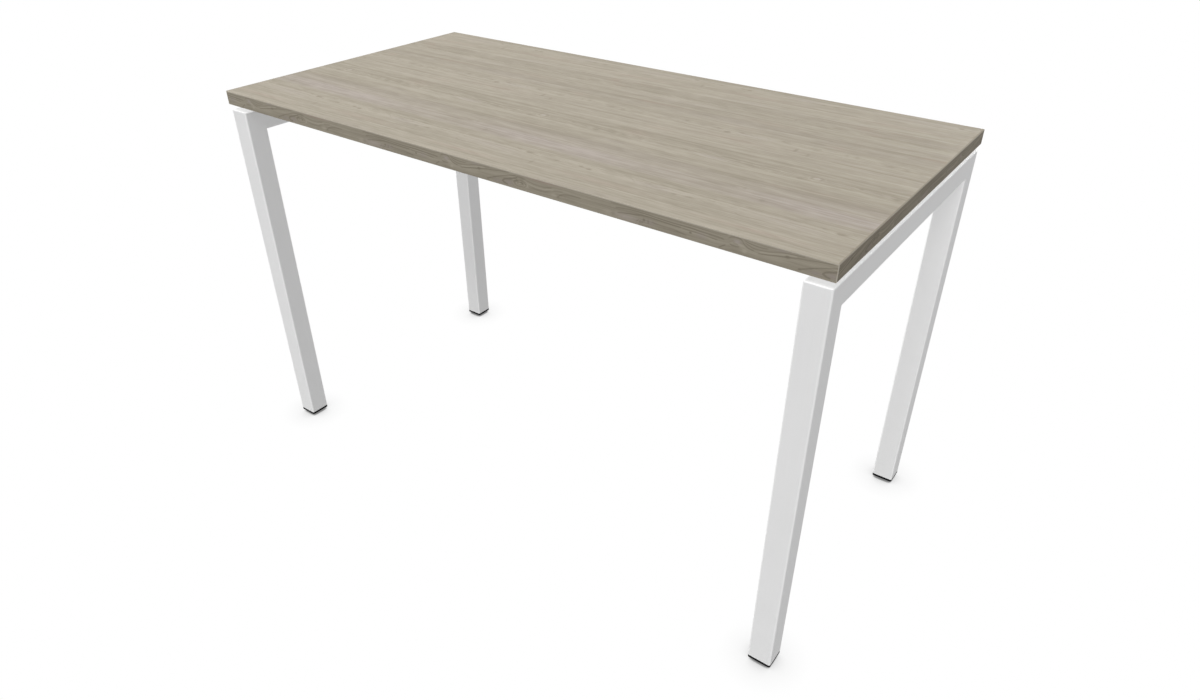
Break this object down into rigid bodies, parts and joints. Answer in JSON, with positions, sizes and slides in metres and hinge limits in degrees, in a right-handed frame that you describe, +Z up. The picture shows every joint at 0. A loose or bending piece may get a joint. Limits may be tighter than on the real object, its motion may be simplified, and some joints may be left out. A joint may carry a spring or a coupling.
{
  "type": "office desk",
  "caption": "Rectangular office desk: wood-effect top on white mitred square-tube end frames, with a shadow gap under the top and screw-adjustable levelling feet.",
  "frame": {"origin": "centre of the footprint on the floor, with the levelling feet screwed in", "axes": "+X along the desk's length to the sitter's right, +Y from the sitter's edge to the back edge, +Z up"},
  "size_m": [1.2, 0.6, 0.74],
  "materials": {
    "desktop_decor": "grey-beige wood-effect decor, matt, grain along the length",
    "edge_decor": "grey-beige wood-effect edge band, matt",
    "white_powder_coat": "white satin powder coat",
    "black_plastic": "moulded, fine grain",
    "zinc_steel": "bright zinc plated"
  },
  "bodies": {
    "desk": {"beam_back": "white_powder_coat", "beam_front": "white_powder_coat", "beam_screws": "zinc_steel", "desktop_board": "desktop_decor", "edge_band_back": "edge_decor", "edge_band_front": "edge_decor", "edge_band_left": "edge_decor", "edge_band_right": "edge_decor", "end_plate_back_left": "white_powder_coat", "end_plate_back_right": "white_powder_coat", "end_plate_bolts": "zinc_steel", "end_plate_front_left": "white_powder_coat", "end_plate_front_right": "white_powder_coat", "end_plate_washers": "zinc_steel", "foot_nuts": "zinc_steel", "leg_back_left": "white_powder_coat", "leg_back_right": "white_powder_coat", "leg_front_left": "white_powder_coat", "leg_front_right": "white_powder_coat", "leg_plug_back_left": "black_plastic", "leg_plug_back_right": "black_plastic", "leg_plug_front_left": "black_plastic", "leg_plug_front_right": "black_plastic", "rail_screws": "zinc_steel", "rivet_nuts": "zinc_steel", "side_rail_left": "white_powder_coat", "side_rail_right": "white_powder_coat", "top_inserts": "zinc_steel", "top_spacers": "black_plastic"},
    "pad_front_left": {"foot_pad_front_left": "black_plastic"},
    "spindle_front_left": {"foot_spindle_front_left": "zinc_steel"},
    "pad_front_right": {"foot_pad_front_right": "black_plastic"},
    "spindle_front_right": {"foot_spindle_front_right": "zinc_steel"},
    "pad_back_left": {"foot_pad_back_left": "black_plastic"},
    "spindle_back_left": {"foot_spindle_back_left": "zinc_steel"},
    "pad_back_right": {"foot_pad_back_right": "black_plastic"},
    "spindle_back_right": {"foot_spindle_back_right": "zinc_steel"}
  },
  "joints": [
    {"name": "foot_lift_front_left", "type": "slide", "parent": "desk", "child": "pad_front_left", "axis": [0, 0, -1], "range_m": [0, 0.015]},
    {"name": "spindle_turn_front_left", "type": "hinge", "parent": "pad_front_left", "child": "spindle_front_left", "pos_m": [-0.578, -0.278, 0.03], "axis": [0, 0, -1], "range_deg": [0, 4320]},
    {"name": "foot_lift_front_right", "type": "slide", "parent": "desk", "child": "pad_front_right", "axis": [0, 0, -1], "range_m": [0, 0.015]},
    {"name": "spindle_turn_front_right", "type": "hinge", "parent": "pad_front_right", "child": "spindle_front_right", "pos_m": [0.578, -0.278, 0.03], "axis": [0, 0, -1], "range_deg": [0, 4320]},
    {"name": "foot_lift_back_left", "type": "slide", "parent": "desk", "child": "pad_back_left", "axis": [0, 0, -1], "range_m": [0, 0.015]},
    {"name": "spindle_turn_back_left", "type": "hinge", "parent": "pad_back_left", "child": "spindle_back_left", "pos_m": [-0.578, 0.278, 0.03], "axis": [0, 0, -1], "range_deg": [0, 4320]},
    {"name": "foot_lift_back_right", "type": "slide", "parent": "desk", "child": "pad_back_right", "axis": [0, 0, -1], "range_m": [0, 0.015]},
    {"name": "spindle_turn_back_right", "type": "hinge", "parent": "pad_back_right", "child": "spindle_back_right", "pos_m": [0.578, 0.278, 0.03], "axis": [0, 0, -1], "range_deg": [0, 4320]}
  ],
  "couplings": [
    {"joint": "spindle_turn_front_left", "follows": "foot_lift_front_left", "rad_per_m": 5026.5},
    {"joint": "spindle_turn_front_right", "follows": "foot_lift_front_right", "rad_per_m": 5026.5},
    {"joint": "spindle_turn_back_left", "follows": "foot_lift_back_left", "rad_per_m": 5026.5},
    {"joint": "spindle_turn_back_right", "follows": "foot_lift_back_right", "rad_per_m": 5026.5}
  ]
}
